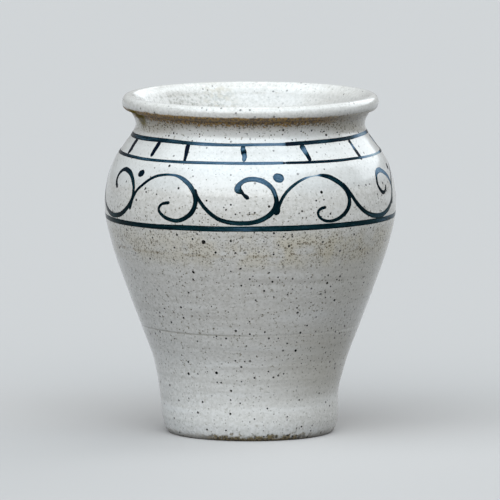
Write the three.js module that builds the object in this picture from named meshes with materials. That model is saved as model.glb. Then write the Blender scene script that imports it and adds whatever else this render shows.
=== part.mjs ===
// A small glazed stoneware flower pot, with a scroll painted round its shoulder.
// Millimetres, +Z up, the middle of the foot at the origin, the best painted side facing -Y.
import * as THREE from 'three';

// Driving dimensions of the clay
const SEGMENTS = 60;
const SEAM_HEIGHT = 58;
const CREASE_HEIGHT = 171.5;
const WALL = 5.7;
const FLOOR = { top: 10, fillet: 6 };
const FOOT = { recess: 3, innerRadius: 37.2, recessRadius: 36, outerRadius: 43.6 };
const FOOT_EDGE = { radius: 44.5, height: 0.5 };
const DRAIN = { radius: 9, chamfer: 1 };
const LIP = { radius: 65, height: 176, halfWidth: 3.2, halfHeight: 4, underside: -65, inside: 135 };
const LIP_FLARE = { radius: 60.3, height: 175.4 };

// Outside of the wall, as heights and radii from the resting edge up to the crease under the lip
const OUTSIDE_HEIGHTS = [1.8, 8, 22, 38, 57, 78, 100, 119, 134, 146, 155, 160.4, 164, 168, 171.5];
const OUTSIDE_RADII = [45.1, 46.6, 47.5, 51.3, 57.9, 65.8, 73, 77.2, 76.1, 72, 66, 62.3, 60.9, 61.8, 63.8];

// Driving dimensions of the paint. It lies under the glaze on the real pot, and just clear of the wall here
const PAINT = { gap: 0.2, thickness: 0.3 };
const LINES = {
  neck_line: { height: 160, width: 1.8 },
  shoulder_line: { height: 151, width: 1.4 },
  belly_line: { height: 117.1, width: 2.6 },
};
const RUNG = { top: 158.7, bottom: 152.1, lean: 0.7, steps: 4, width: 1.5 };
const FRONT_RUNG_TURNS = [-70, -49.8, -30.5, -3.2, 26.4, 56.6];
const RUNG_COUNT = 13;
const BRUSH = { thin: 1.2, thick: 2.4, steps: 36 };
const DOT = { turn: 1, height: 142.9, length: 4, steps: 6, blunt: 0.5 };

// The scroll repeats in cells, each with an arch and a loop drawn here in a cell 66 degrees wide.
// A point is [degrees from the cell's start, height]. The strokes stop just short of each other.
const CELL_WIDTH = 66;
const FRONT_CELL_TURNS = [-120.5, -54.5, 11.5, 76.5];
const CELL_COUNT = 6;
const ARCH = [
  [2.2, 132.4], [6, 138], [11.5, 142.2], [18.5, 143.6], [25.5, 141.5], [30.5, 136], [32, 130.5],
  [30.5, 125], [25.5, 120.7], [20, 120.9], [16.2, 124.5], [17.7, 127.6], [20.5, 128.5],
];
const LOOP = [
  [34.6, 133.2], [36.6, 128.6], [39.6, 124.6], [44, 121.4], [50.5, 120.2], [56, 120.6], [61, 123.6],
  [64, 128.2], [64.8, 133], [63.6, 137.7], [60, 141.6], [55.5, 143], [52, 141.6], [50.5, 138.5],
  [51.7, 135.2], [53.5, 133],
];

const GLAZE = new THREE.MeshStandardMaterial({ color: 0xcfccc3, roughness: 0.3, metalness: 0 });
const OXIDE = new THREE.MeshStandardMaterial({ color: 0x1d3b45, roughness: 0.25, metalness: 0 });

const smoothOutside = new THREE.CubicInterpolant(OUTSIDE_HEIGHTS, OUTSIDE_RADII, 1);

function outsideRadius(height) {
  return smoothOutside.evaluate(height)[0];
}

function evenHeights(from, to, steps) {
  return Array.from({ length: steps + 1 }, (_, i) => from + ((to - from) * i) / steps);
}

function wallPoint(height, depth = 0) {
  return new THREE.Vector2(outsideRadius(height) - depth, height);
}

function arcPoint(centre, halfWidth, halfHeight, degrees) {
  const angle = THREE.MathUtils.degToRad(degrees);
  return new THREE.Vector2(
    centre.x + halfWidth * Math.cos(angle),
    centre.y + halfHeight * Math.sin(angle),
  );
}

const OUTER_RINGS = [
  ...evenHeights(OUTSIDE_HEIGHTS[0], SEAM_HEIGHT, 10),
  ...evenHeights(SEAM_HEIGHT, 140, 16).slice(1),
  ...evenHeights(140, CREASE_HEIGHT, 12).slice(1),
];

// Radius of the faceted wall, which is straight between two rings
function facetedRadius(height) {
  const above = OUTER_RINGS.findIndex((ring) => ring >= height);
  const [low, high] = [OUTER_RINGS[above - 1], OUTER_RINGS[above]];
  const share = (height - low) / (high - low);
  return THREE.MathUtils.lerp(outsideRadius(low), outsideRadius(high), share);
}

// A ring of clay or paint turned from a closed outline, drawn anticlockwise with the radius as x
function turned(outline) {
  const closed = [...outline, outline[0].clone()];
  return new THREE.LatheGeometry(closed, SEGMENTS).rotateX(Math.PI / 2);
}

function lowerBody() {
  const outside = OUTER_RINGS.filter((ring) => ring <= SEAM_HEIGHT).map((ring) => wallPoint(ring));
  const filletTop = FLOOR.top + FLOOR.fillet;
  const inside = evenHeights(SEAM_HEIGHT, filletTop, 6).map((height) => wallPoint(height, WALL));
  const filletCentre = new THREE.Vector2(outsideRadius(filletTop) - WALL - FLOOR.fillet, filletTop);
  const fillet = [-30, -60, -90].map((angle) => arcPoint(filletCentre, FLOOR.fillet, FLOOR.fillet, angle));
  return turned([
    new THREE.Vector2(FOOT.outerRadius, 0),
    new THREE.Vector2(FOOT_EDGE.radius, FOOT_EDGE.height),
    ...outside,
    ...inside,
    ...fillet,
    new THREE.Vector2(DRAIN.radius + DRAIN.chamfer, FLOOR.top),
    new THREE.Vector2(DRAIN.radius, FLOOR.top - DRAIN.chamfer),
    new THREE.Vector2(DRAIN.radius, FOOT.recess + DRAIN.chamfer),
    new THREE.Vector2(DRAIN.radius + DRAIN.chamfer, FOOT.recess),
    new THREE.Vector2(FOOT.recessRadius, FOOT.recess),
    new THREE.Vector2(FOOT.innerRadius, 0),
  ]);
}

function upperBody() {
  const outside = OUTER_RINGS.filter((ring) => ring >= SEAM_HEIGHT).map((ring) => wallPoint(ring));
  const insideHeights = [
    ...evenHeights(CREASE_HEIGHT, 140, 7),
    ...evenHeights(140, SEAM_HEIGHT, 8).slice(1),
  ];
  return turned([...outside, ...insideHeights.map((height) => wallPoint(height, WALL))]);
}

function rimRoll() {
  const centre = new THREE.Vector2(LIP.radius, LIP.height);
  const bead = evenHeights(LIP.underside, LIP.inside, 9).map((angle) =>
    arcPoint(centre, LIP.halfWidth, LIP.halfHeight, angle),
  );
  return turned([
    wallPoint(CREASE_HEIGHT),
    ...bead,
    new THREE.Vector2(LIP_FLARE.radius, LIP_FLARE.height),
    wallPoint(CREASE_HEIGHT, WALL),
  ]);
}

function paintedLine({ height, width }) {
  const [low, high] = [height - width / 2, height + width / 2];
  const [near, far] = [PAINT.gap, PAINT.gap + PAINT.thickness];
  return turned([
    new THREE.Vector2(facetedRadius(low) + far, low),
    new THREE.Vector2(facetedRadius(high) + far, high),
    new THREE.Vector2(facetedRadius(high) + near, high),
    new THREE.Vector2(facetedRadius(low) + near, low),
  ]);
}

// A point of the wall, given as millimetres along the widest girth and height, lifted off the clay
const MM_PER_DEGREE = (Math.PI * Math.max(...OUTSIDE_RADII)) / 180;

function onWall(girth, height, lift) {
  const angle = THREE.MathUtils.degToRad(girth / MM_PER_DEGREE);
  const radius = facetedRadius(height) + lift;
  return [radius * Math.sin(angle), -radius * Math.cos(angle), height];
}

// One brush stroke: a thin ribbon that follows the wall, with a width at each point of its path
function stroke(path, widths) {
  const last = path.length - 1;
  const positions = path.flatMap((point, i) => {
    const ahead = path[Math.min(i + 1, last)];
    const behind = path[Math.max(i - 1, 0)];
    const along = ahead.clone().sub(behind).normalize();
    const left = new THREE.Vector2(-along.y, along.x).multiplyScalar(widths[i] / 2);
    const [near, far] = [PAINT.gap, PAINT.gap + PAINT.thickness];
    return [
      ...onWall(point.x - left.x, point.y - left.y, near),
      ...onWall(point.x + left.x, point.y + left.y, near),
      ...onWall(point.x + left.x, point.y + left.y, far),
      ...onWall(point.x - left.x, point.y - left.y, far),
    ];
  });
  const quad = (a, b, c, d) => [a, b, c, a, c, d];
  const faces = [...quad(0, 3, 2, 1), ...quad(4 * last, 4 * last + 1, 4 * last + 2, 4 * last + 3)];
  for (let i = 0; i < last; i += 1) {
    for (let side = 0; side < 4; side += 1) {
      const [a, b] = [4 * i + side, 4 * i + ((side + 1) % 4)];
      faces.push(...quad(a, b, b + 4, a + 4));
    }
  }
  const geometry = new THREE.BufferGeometry();
  geometry.setAttribute('position', new THREE.Float32BufferAttribute(positions, 3));
  geometry.setIndex(faces);
  geometry.computeVertexNormals();
  return geometry;
}

// A long stroke of the scroll, thin where the brush lands and lifts and thick between
function scrollStroke(points, cell) {
  const spread = cell.width / CELL_WIDTH;
  const curve = new THREE.SplineCurve(
    points.map(([turn, height]) => new THREE.Vector2((cell.turn + turn * spread) * MM_PER_DEGREE, height)),
  );
  const path = curve.getSpacedPoints(BRUSH.steps);
  const widths = path.map((_, i) => {
    const press = Math.sin((Math.PI * i) / BRUSH.steps);
    return THREE.MathUtils.lerp(BRUSH.thin, BRUSH.thick, press);
  });
  return stroke(path, widths);
}

function rung(turn) {
  const path = evenHeights(RUNG.top, RUNG.bottom, RUNG.steps).map((height, i) => {
    const lean = (RUNG.lean * i) / RUNG.steps;
    return new THREE.Vector2((turn + lean) * MM_PER_DEGREE, height);
  });
  return stroke(path, path.map(() => RUNG.width));
}

// A dab of the brush: a short stroke as wide as it is long
function dot(cell) {
  const half = DOT.length / 2;
  const middle = (cell.turn + DOT.turn) * MM_PER_DEGREE;
  const path = evenHeights(-half, half, DOT.steps).map((x) => new THREE.Vector2(middle + x, DOT.height));
  const widths = path.map((point) => Math.max(DOT.blunt, 2 * Math.sqrt(half ** 2 - (point.x - middle) ** 2)));
  return stroke(path, widths);
}

// The turns seen from the front, and the rest shared out evenly round the back
function allTurns(frontTurns, count) {
  const [first, last] = [frontTurns[0], frontTurns.at(-1)];
  const back = count - frontTurns.length + 1;
  return [...frontTurns, ...evenHeights(last, first + 360, back).slice(1, -1)];
}

function scrollCells() {
  const turns = allTurns(FRONT_CELL_TURNS, CELL_COUNT);
  const ends = [...turns.slice(1), turns[0] + 360];
  return turns.map((turn, i) => ({ turn, width: ends[i] - turn }));
}

const pot = new THREE.Group();

function addPiece(name, geometry, material) {
  const mesh = new THREE.Mesh(geometry, material);
  mesh.name = name;
  pot.add(mesh);
}

addPiece('lower_body', lowerBody(), GLAZE);
addPiece('upper_body', upperBody(), GLAZE);
addPiece('rim_roll', rimRoll(), GLAZE);

for (const [name, line] of Object.entries(LINES)) {
  addPiece(name, paintedLine(line), OXIDE);
}

allTurns(FRONT_RUNG_TURNS, RUNG_COUNT).forEach((turn, i) => {
  addPiece(`rung_${i + 1}`, rung(turn), OXIDE);
});

scrollCells().forEach((cell, i) => {
  addPiece(`scroll_arch_${i + 1}`, scrollStroke(ARCH, cell), OXIDE);
  addPiece(`scroll_loop_${i + 1}`, scrollStroke(LOOP, cell), OXIDE);
  addPiece(`scroll_dot_${i + 1}`, dot(cell), OXIDE);
});

export default pot;
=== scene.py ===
# %% [markdown]
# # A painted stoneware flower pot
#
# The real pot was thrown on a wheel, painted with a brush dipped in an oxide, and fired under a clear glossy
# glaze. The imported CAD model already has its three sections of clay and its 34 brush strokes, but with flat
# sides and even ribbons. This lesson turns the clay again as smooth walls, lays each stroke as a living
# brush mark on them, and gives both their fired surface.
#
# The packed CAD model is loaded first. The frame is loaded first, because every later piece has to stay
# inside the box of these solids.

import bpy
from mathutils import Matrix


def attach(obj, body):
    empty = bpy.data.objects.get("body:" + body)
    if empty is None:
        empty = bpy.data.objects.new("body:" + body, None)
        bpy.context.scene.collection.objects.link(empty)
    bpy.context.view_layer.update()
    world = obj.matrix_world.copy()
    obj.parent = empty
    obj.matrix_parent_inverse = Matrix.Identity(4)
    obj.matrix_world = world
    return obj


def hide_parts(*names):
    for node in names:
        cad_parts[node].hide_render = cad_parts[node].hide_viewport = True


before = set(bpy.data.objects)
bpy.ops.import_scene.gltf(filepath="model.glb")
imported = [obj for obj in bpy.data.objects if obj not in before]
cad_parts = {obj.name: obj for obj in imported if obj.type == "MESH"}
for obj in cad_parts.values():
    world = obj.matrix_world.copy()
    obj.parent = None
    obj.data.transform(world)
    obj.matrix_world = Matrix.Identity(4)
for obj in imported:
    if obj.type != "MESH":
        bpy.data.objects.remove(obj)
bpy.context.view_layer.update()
print("packed nodes:", len(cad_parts))

# %% Tools from Blender and Python
import bisect
import math
import random
from functools import partial

import bpy
from mathutils import Vector, noise

MM = 0.001
print("one millimetre is", MM, "m in this scene")

# %% [markdown]
# ## The outline of the wall
#
# A potter judges a pot by its outline. It could be drawn as a curve object, but a short table of heights and
# radii is easier to check against the CAD model, which uses the same numbers. Between two stations the
# radius follows a cubic, whose steepness at each station is the mean of the two stretches that meet there.

# %% The outline's stations, in millimetres
STATIONS = [
    (1.8, 45.1), (8, 46.6), (22, 47.5), (38, 51.3), (57, 57.9), (78, 65.8), (100, 73), (119, 77.2),
    (134, 76.1), (146, 72), (155, 66), (160.4, 62.3), (164, 60.9), (168, 61.8), (171.5, 63.8),
]
SEAM = 58
CREASE = 171.5
WALL = 5.7


def steepness(i):
    """How fast the radius grows with height at station i."""
    stretches = []
    for j in (i - 1, i):
        if 0 <= j < len(STATIONS) - 1:
            (low, low_radius), (high, high_radius) = STATIONS[j], STATIONS[j + 1]
            stretches.append((high_radius - low_radius) / (high - low))
    return sum(stretches) / len(stretches)


def wall_radius(height):
    """The smooth outside radius at a height."""
    i = bisect.bisect_right(STATIONS, (height, math.inf)) - 1
    i = max(0, min(len(STATIONS) - 2, i))
    (low, low_radius), (high, high_radius) = STATIONS[i], STATIONS[i + 1]
    run = high - low
    t = (height - low) / run
    rise = t * t * (3 - 2 * t)
    swing_in = steepness(i) * run * t * (1 - t) ** 2
    swing_out = steepness(i + 1) * run * t * t * (1 - t)
    return low_radius + (high_radius - low_radius) * rise + swing_in - swing_out


print("belly radius:", round(wall_radius(120), 2), "mm, neck radius:", round(wall_radius(164), 2), "mm")

# %% [markdown]
# ## The potter's hand
#
# A thrown wall is never quite round or quite smooth. The fingers leave a slow spiral, the rim goes a little
# oval as it dries, and the stretch above the foot has slumped to the left by up to 0.7 mm. Under the belly
# there are a fuller stretch and a low ledge, lower down a slimmer stretch, and a faint ring where the two
# thrown parts meet. One function holds all of that, because the clay and the paint on it must share it.

# %% Unevenness of the wall, in millimetres
HEIGHT = 180
LEDGE = 101.8
RIDGE_PITCH = 6.3


def swell(height, middle, reach):
    """1 at the middle height, falling away softly within about the reach."""
    return math.exp(-(((height - middle) / reach) ** 2))


def hand(turn, height):
    """How far the wall stands proud at a turn, in degrees from the front, and a height."""
    angle = math.radians(turn)
    around = Vector((math.sin(angle), -math.cos(angle), 0))
    spiral = 0.045 * math.sin(math.tau * height / RIDGE_PITCH + angle)
    softness = 0.6 + 0.4 * noise.noise(around * 1.3 + Vector((0, 0, height / 30)))
    oval = 0.12 * math.cos(2 * angle + 0.7) * height / HEIGHT
    lumps = 0.07 * noise.noise(around * 2.2 + Vector((0, 0, height / 22)))
    ledge = 0.06 / (1 + math.exp((height - LEDGE) / 0.35))
    groove = -0.09 * swell(height, SEAM, 0.55)
    fuller = 0.35 * swell(height, 102, 14)
    slimmer = -0.35 * swell(height, 41, 10)
    slump = -0.7 * math.sin(angle) * swell(height, 23, 10)
    return spiral * softness + oval + lumps + ledge + groove + fuller + slimmer + slump


print("unevenness at the front of the belly:", round(hand(0, 117), 3), "mm")

# %% [markdown]
# ## Turning clay from an outline
#
# A lathe shape can be made with the Screw modifier or with the Spin operator. Spin is used here, because it
# works on the outline in edit mode and leaves a plain mesh. The outline starts as a plane that is merged to
# one point. That point is extruded along the section of the wall, back to where it began, and then spun.

# %% Draw an outline and spin it
TURNS = 240
TOUCHING = 0.004 * MM
SHARP_CLAY, SHARP_PAINT = math.radians(38), math.radians(50)


def begin(name):
    """Names the newly added object and its mesh."""
    piece = bpy.context.object
    piece.name = name
    piece.data.name = name
    return piece


def draw_outline(name, points):
    """Draws a closed chain of (radius, height) points at the front of the pot, by extruding one point."""
    bpy.ops.object.select_all(action="DESELECT")
    bpy.ops.mesh.primitive_plane_add(size=MM)
    outline = begin(name)
    places = [Vector((0, -radius * MM, height * MM)) for radius, height in points]
    bpy.ops.object.mode_set(mode="EDIT")
    bpy.ops.mesh.select_all(action="SELECT")
    bpy.ops.mesh.merge(type="CENTER")
    bpy.ops.transform.translate(value=places[0])
    for here, there in zip(places, places[1:] + places[:1]):
        bpy.ops.mesh.extrude_region_move(TRANSFORM_OT_translate={"value": there - here})
    return outline


def spin_clay(piece):
    """Spins the outline once round the axis, closes it, and gives it the potter's unevenness."""
    bpy.ops.mesh.select_all(action="SELECT")
    bpy.ops.mesh.spin(steps=TURNS, angle=math.tau, center=(0, 0, 0), axis=(0, 0, 1))
    bpy.ops.mesh.select_all(action="SELECT")
    bpy.ops.mesh.remove_doubles(threshold=TOUCHING)
    bpy.ops.mesh.normals_make_consistent(inside=False)
    bpy.ops.object.mode_set(mode="OBJECT")
    for vertex in piece.data.vertices:
        x, y, z = vertex.co
        radius = math.hypot(x, y)
        turn = math.degrees(math.atan2(x, -y))
        grown = 1 + hand(turn, z / MM) * MM / radius
        vertex.co = (x * grown, y * grown, z)
    bpy.ops.object.shade_smooth_by_angle(angle=SHARP_CLAY)
    print(piece.name, "has", len(piece.data.polygons), "faces")
    return piece


print("an outline is spun in", TURNS, "steps")

# %% Points along a wall and round a corner
def steps(start, end, length):
    """Even heights from start to end, about one length apart, with both ends."""
    count = max(1, round(abs(end - start) / length))
    return [start + (end - start) * i / count for i in range(count + 1)]


def wall_points(heights, depth=0):
    """Points of the outline at some heights, at a depth inside the outer face."""
    return [(wall_radius(height) - depth, height) for height in heights]


def corner(centre, half_width, half_height, start, end, count):
    """Points of a rounded corner, from one angle to another."""
    angles = [math.radians(start + (end - start) * i / count) for i in range(count + 1)]
    return [(centre[0] + half_width * math.cos(a), centre[1] + half_height * math.sin(a)) for a in angles]


print("a 2 mm corner starts at", corner((10, 0), 2, 2, 0, 90, 3)[0])

# %% [markdown]
# ## The base
#
# The lower section carries the foot ring, the floor and the drain hole, up to the ring where the upper part
# was luted on. Its wall is drawn in steps of about a millimetre, and in much finer steps beside the joint,
# so that the light runs across the joint without a break. The foot's edge is rounded as if sponged. Inside,
# the wall bends softly into the floor, and the drain hole has rounded lips.

# %% Turn the base
FLOOR = 10
RECESS = 3
DRAIN = 9
BEND, BEND_RADIUS = 16, 6
FOOT_TOP = 4.9
COARSE, FINE = 1.1, 0.25
FOOT_EDGE = [(37.4, 0), (42.8, 0), (43.3, 0.2), (43.9, 0.7), (44.5, 1.5), (45.1, 2.5), (45.6, 3.7)]
UNDERSIDE = [(17, RECESS), (26, RECESS), (35.4, RECESS), (36.2, 2.6), (36.9, 0.6)]

base_outline = FOOT_EDGE + wall_points(steps(FOOT_TOP, SEAM - 2, COARSE) + steps(SEAM - 2, SEAM, FINE)[1:])
base_outline += wall_points(steps(SEAM, BEND, 3.5), WALL)
base_outline += corner((wall_radius(BEND) - WALL - BEND_RADIUS, BEND), BEND_RADIUS, BEND_RADIUS, -15, -90, 5)
base_outline += [(26, FLOOR), (17, FLOOR)] + corner((DRAIN + 1, FLOOR - 1), 1, 1, 90, 180, 4)
base_outline += [(DRAIN, 6.5)] + corner((DRAIN + 1, RECESS + 1), 1, 1, 180, 270, 4) + UNDERSIDE

base = spin_clay(draw_outline("thrown_base", base_outline))
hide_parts("lower_body")

# %% [markdown]
# ## The belly, shoulder and neck
#
# The upper section is the one that carries the painting. It is turned in the same way, from the joint up to
# the crease under the rim.

# %% Turn the upper wall
upper_heights = steps(SEAM, SEAM + 2, FINE) + steps(SEAM + 2, CREASE - 1, COARSE)[1:]
upper_heights += steps(CREASE - 1, CREASE, FINE)[1:]
upper_outline = wall_points(upper_heights) + wall_points(steps(CREASE, SEAM, 3), WALL)

upper = spin_clay(draw_outline("thrown_belly_and_neck", upper_outline))
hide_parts("upper_body")

# %% [markdown]
# ## The rolled rim
#
# The potter folds the last of the wall outwards into a roll. Its section is a little over half an ellipse,
# which meets the wall in a crease below, and opens inwards in a soft flare.

# %% Turn the rim
UNDER_RIM = [(63.8, CREASE), (63.95, 171.75), (64.6, 171.95), (65.6, 172.15)]
FLARE = [(61.9, 177.9), (61.1, 176.8), (60.4, 175.5), (59.5, 173.9), (58.7, 172.6), (58.1, CREASE)]
ROLL_MIDDLE, ROLL_HALF_WIDTH, ROLL_HALF_HEIGHT = (65, 176), 3.2, 4

roll = corner(ROLL_MIDDLE, ROLL_HALF_WIDTH, ROLL_HALF_HEIGHT, -62, 135, 30)
rim = spin_clay(draw_outline("rolled_rim", UNDER_RIM + roll + FLARE))
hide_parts("rim_roll")

# %% [markdown]
# ## The path of a brush
#
# A brush stroke could be a texture, but real strips of paint keep their place on the part, and their edges
# stay sharp at any distance. Each stroke is written down as a few touches: turn, height, width and load,
# where load is how much oxide the brush leaves, from 0 for a thin wash to 1 for full colour. Where a stroke
# faces the bright sky, a low load also stands for a painted reflection of the sky on the glossy paint. A
# smooth curve through the touches is then walked in short even paces.

# %% Walk a smooth path through the touches
PACE, FINE_PACE = 0.5, 0.15
FEWEST = 4


def curve_point(a, b, c, d, t):
    """The point at share t of the curve from b to c, where the brush comes from a and goes on to d."""
    return tuple(
        q + 0.5 * t * (r - p + t * (2 * p - 5 * q + 4 * r - s + t * (3 * (q - r) + s - p)))
        for p, q, r, s in zip(a, b, c, d)
    )


def apart(a, b):
    """Distance over the wall between two touches, in millimetres."""
    middle = wall_radius((a[1] + b[1]) / 2)
    return math.hypot(math.radians(b[0] - a[0]) * middle, b[1] - a[1])


def full_circle(touch, turns):
    """The same touch, a number of whole turns further round."""
    return (touch[0] + 360 * turns,) + tuple(touch[1:])


def brush_path(touches, closed=False):
    """Evenly paced touches along the smooth curve through the given ones."""
    before = full_circle(touches[-2], -1) if closed else touches[0]
    after = full_circle(touches[1], 1) if closed else touches[-1]
    line = [before] + list(touches) + [after]
    fine = []
    for a, b, c, d in zip(line, line[1:], line[2:], line[3:]):
        parts = max(FEWEST, round(apart(b, c) / FINE_PACE))
        fine += [curve_point(a, b, c, d, i / parts) for i in range(parts)]
    fine.append(tuple(touches[-1]))
    walked = [0]
    for a, b in zip(fine, fine[1:]):
        walked.append(walked[-1] + apart(a, b))
    count = max(FEWEST, round(walked[-1] / PACE))
    path = []
    for i in range(count + 1):
        wanted = walked[-1] * i / count
        j = min(bisect.bisect_right(walked, wanted), len(walked) - 1) - 1
        share = (wanted - walked[j]) / (walked[j + 1] - walked[j])
        path.append(tuple(p + (q - p) * share for p, q in zip(fine[j], fine[j + 1])))
    return path, walked[-1]


print("a quarter turn at the belly is", round(brush_path([(0, 120, 1, 1), (90, 120, 1, 1)])[1], 1), "mm long")

# %% [markdown]
# ## Laying a stroke on the wall
#
# A straight grid of faces is the untouched strip. Each of its columns is carried to its pace of the path and
# set square to it, so the strip bends with the brush. Both edges waver a little, open ends are rounded, and
# the middle stands a few hundredths of a millimetre proud. Solidify then sinks its edges into the clay.
# Kinds of stroke that cross are lifted by different amounts, so that neither flickers through the other.
# The load, with the painted reflection it carries, is kept as an attribute, and the UV map measures along
# and across, for the paint's material.

# %% Lay a strip along a path
ACROSS = 6
SKIN, CROWN, NARROWEST = 0.06, 0.02, 0.25
TIP = 0.02
LIFT = {"line": 0.05, "rung": 0.038, "arch": 0.02, "loop": 0.03, "dot": 0.03, "blot": 0.0}
WAVER_SCALE, OTHER_EDGE = 0.55, Vector((0, 0, 40))
UV_LENGTH = 10


def on_wall(turn, height, lift):
    """A point of the uneven wall, in metres, lifted off it by some millimetres."""
    radius = (wall_radius(height) + hand(turn, height) + lift) * MM
    angle = math.radians(turn)
    return Vector((radius * math.sin(angle), -radius * math.cos(angle), height * MM))


def rounding(i, count, length, width):
    """How much of its width the stroke has at pace i, from how near the rounded ends are."""
    reach = width / 2
    near = min(i, count - i) * length / count
    if near >= reach:
        return 1
    return math.sqrt(max(TIP, 1 - (1 - near / reach) ** 2))


def neighbours(path, i, closed):
    """The touches before and after touch i, past the join where the stroke is a ring."""
    count = len(path) - 1
    behind, ahead = path[max(i - 1, 0)], path[min(i + 1, count)]
    if closed and i == 0:
        behind = full_circle(path[count - 1], -1)
    if closed and i == count:
        ahead = full_circle(path[1], 1)
    return behind, ahead


def lay_stroke(name, touches, lift, closed=False, waver=0.07):
    """Makes one stroke of paint, lifted by some millimetres, whose edges waver by a share of its width."""
    path, length = brush_path(touches, closed)
    count = len(path) - 1
    bpy.ops.object.select_all(action="DESELECT")
    bpy.ops.mesh.primitive_grid_add(x_subdivisions=count, y_subdivisions=ACROSS, size=1)
    strip = begin(name)
    loads_and_reflections = []
    for index, vertex in enumerate(strip.data.vertices):
        row, i = divmod(index, count + 1)
        turn, height, width, load_and_reflection = path[i]
        behind, ahead = neighbours(path, i, closed)
        around = math.radians(1) * wall_radius(height)
        along = Vector(((ahead[0] - behind[0]) * around, ahead[1] - behind[1])).normalized()
        side = 2 * row / ACROSS - 1
        trim = 1 if closed else rounding(i, count, length, width)
        where = on_wall(turn, height, 0) / MM * WAVER_SCALE + OTHER_EDGE * math.copysign(1, side)
        reach = side * max(width, NARROWEST) / 2 * trim * (1 + waver * noise.noise(where))
        crown = CROWN * (1 - side * side)
        vertex.co = on_wall(turn - along.y * reach / around, height + along.x * reach, lift + crown)
        loads_and_reflections.append(min(1, max(0, load_and_reflection)))
    paint = strip.data.attributes.new("load_and_reflection", "FLOAT", "POINT")
    paint.data.foreach_set("value", loads_and_reflections)
    measure = strip.data.uv_layers.active.data
    for loop in strip.data.loops:
        row, i = divmod(loop.vertex_index, count + 1)
        measure[loop.index].uv = (length * i / count / UV_LENGTH, row / ACROSS)
    return finish_stroke(strip, closed)


def finish_stroke(strip, closed):
    """Closes a ring of paint, gives the strip its thickness, and smooths it."""
    if closed:
        bpy.ops.object.mode_set(mode="EDIT")
        bpy.ops.mesh.select_all(action="SELECT")
        bpy.ops.mesh.remove_doubles(threshold=TOUCHING)
        bpy.ops.mesh.normals_make_consistent(inside=False)
        bpy.ops.object.mode_set(mode="OBJECT")
    skin = strip.modifiers.new("skin", "SOLIDIFY")
    skin.thickness = SKIN * MM
    skin.offset = -1
    bpy.ops.object.modifier_apply(modifier=skin.name)
    bpy.ops.object.shade_smooth_by_angle(angle=SHARP_PAINT)
    return strip


strokes = []
print("strips are", ACROSS, "faces across and", SKIN, "mm thick")

# %% [markdown]
# ## The three ruled lines
#
# The potter set the pot on the wheel, held a loaded brush still and let the wheel turn once for each line.
# The brush empties as the wheel turns, so the two upper lines grow pale towards the front and start afresh,
# in full colour, a little to the right of it. They fade once more near the right edge of the view. Both pale
# stretches are partly thin paint and partly a painted reflection of the sky. The line under the scroll stays
# broad all the way. None is quite level.

# %% Paint the lines
NECK_LINE = [
    (-180, 160.1, 1.9, 0.95), (-140, 160.0, 2.0, 1), (-100, 159.6, 2.0, 0.95), (-78, 159.4, 2.2, 0.85),
    (-64, 159.55, 2.3, 0.75), (-50, 159.9, 2.2, 0.85), (-42, 159.95, 2.1, 0.75), (-32, 159.75, 1.8, 0.7),
    (-22, 159.6, 1.7, 0.52), (-10, 159.6, 1.5, 0.58), (4, 159.8, 1.5, 0.44), (13, 159.8, 1.4, 0.38),
    (16.6, 159.75, 1.6, 0.5), (17.8, 159.8, 2.0, 0.95), (24, 159.95, 2.0, 0.85), (34, 160.1, 2.0, 0.82),
    (44, 160.2, 1.9, 0.85), (56, 160.3, 1.9, 0.8), (64, 160.6, 1.7, 0.45), (76, 160.8, 1.6, 0.15),
    (88, 160.7, 1.7, 0.9), (115, 160.3, 1.8, 0.95), (150, 160.1, 1.9, 0.95), (180, 160.1, 1.9, 0.95),
]
SHOULDER_LINE = [
    (-180, 150.9, 1.5, 0.95), (-130, 150.7, 1.6, 0.95), (-90, 150.2, 1.6, 0.95), (-66, 150.1, 1.5, 0.85),
    (-54, 149.95, 1.5, 0.7), (-42, 150.1, 1.45, 0.72), (-33, 150.25, 1.45, 0.7), (-24, 150.45, 1.5, 0.58),
    (-14, 150.6, 1.45, 0.5), (0, 150.65, 1.5, 0.45), (13.2, 150.65, 1.4, 0.45), (14.4, 150.6, 1.3, 1),
    (15.6, 150.6, 0.9, 0.7), (16.8, 150.6, 1.3, 0.95), (28, 150.45, 1.4, 0.88), (42, 150.3, 1.4, 0.85),
    (53, 150.35, 1.3, 0.8), (60, 150.25, 1.1, 0.35), (68, 150.3, 1.0, 0.12), (78, 150.4, 1.0, 0.12),
    (86, 150.5, 1.3, 0.85), (110, 150.8, 1.5, 0.95), (150, 150.9, 1.5, 0.95), (180, 150.9, 1.5, 0.95),
]
BELLY_LINE = [
    (-180, 117.1, 2.6, 0.95), (-130, 116.6, 2.5, 0.95), (-90, 116.0, 2.6, 0.9), (-66, 115.85, 2.7, 0.9),
    (-52, 116.0, 2.6, 0.95), (-40, 116.15, 2.7, 0.95), (-28, 116.6, 2.9, 0.88), (-16, 116.65, 2.9, 0.85),
    (-5, 116.8, 2.8, 0.72), (8, 116.95, 3.0, 0.8), (18, 116.95, 3.0, 0.85), (32, 117.05, 2.9, 0.87),
    (48, 117.05, 2.8, 0.9), (64, 116.9, 2.7, 0.75), (80, 116.8, 2.5, 0.7), (110, 117.0, 2.5, 0.9),
    (150, 117.1, 2.6, 0.95), (180, 117.1, 2.6, 0.95),
]

for node, touches in (("neck_line", NECK_LINE), ("shoulder_line", SHOULDER_LINE), ("belly_line", BELLY_LINE)):
    line = lay_stroke("brushed_" + node, touches, LIFT["line"], closed=True, waver=0.05)
    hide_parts(node)
    strokes.append(line)
print("lines painted:", len(strokes))
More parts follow.
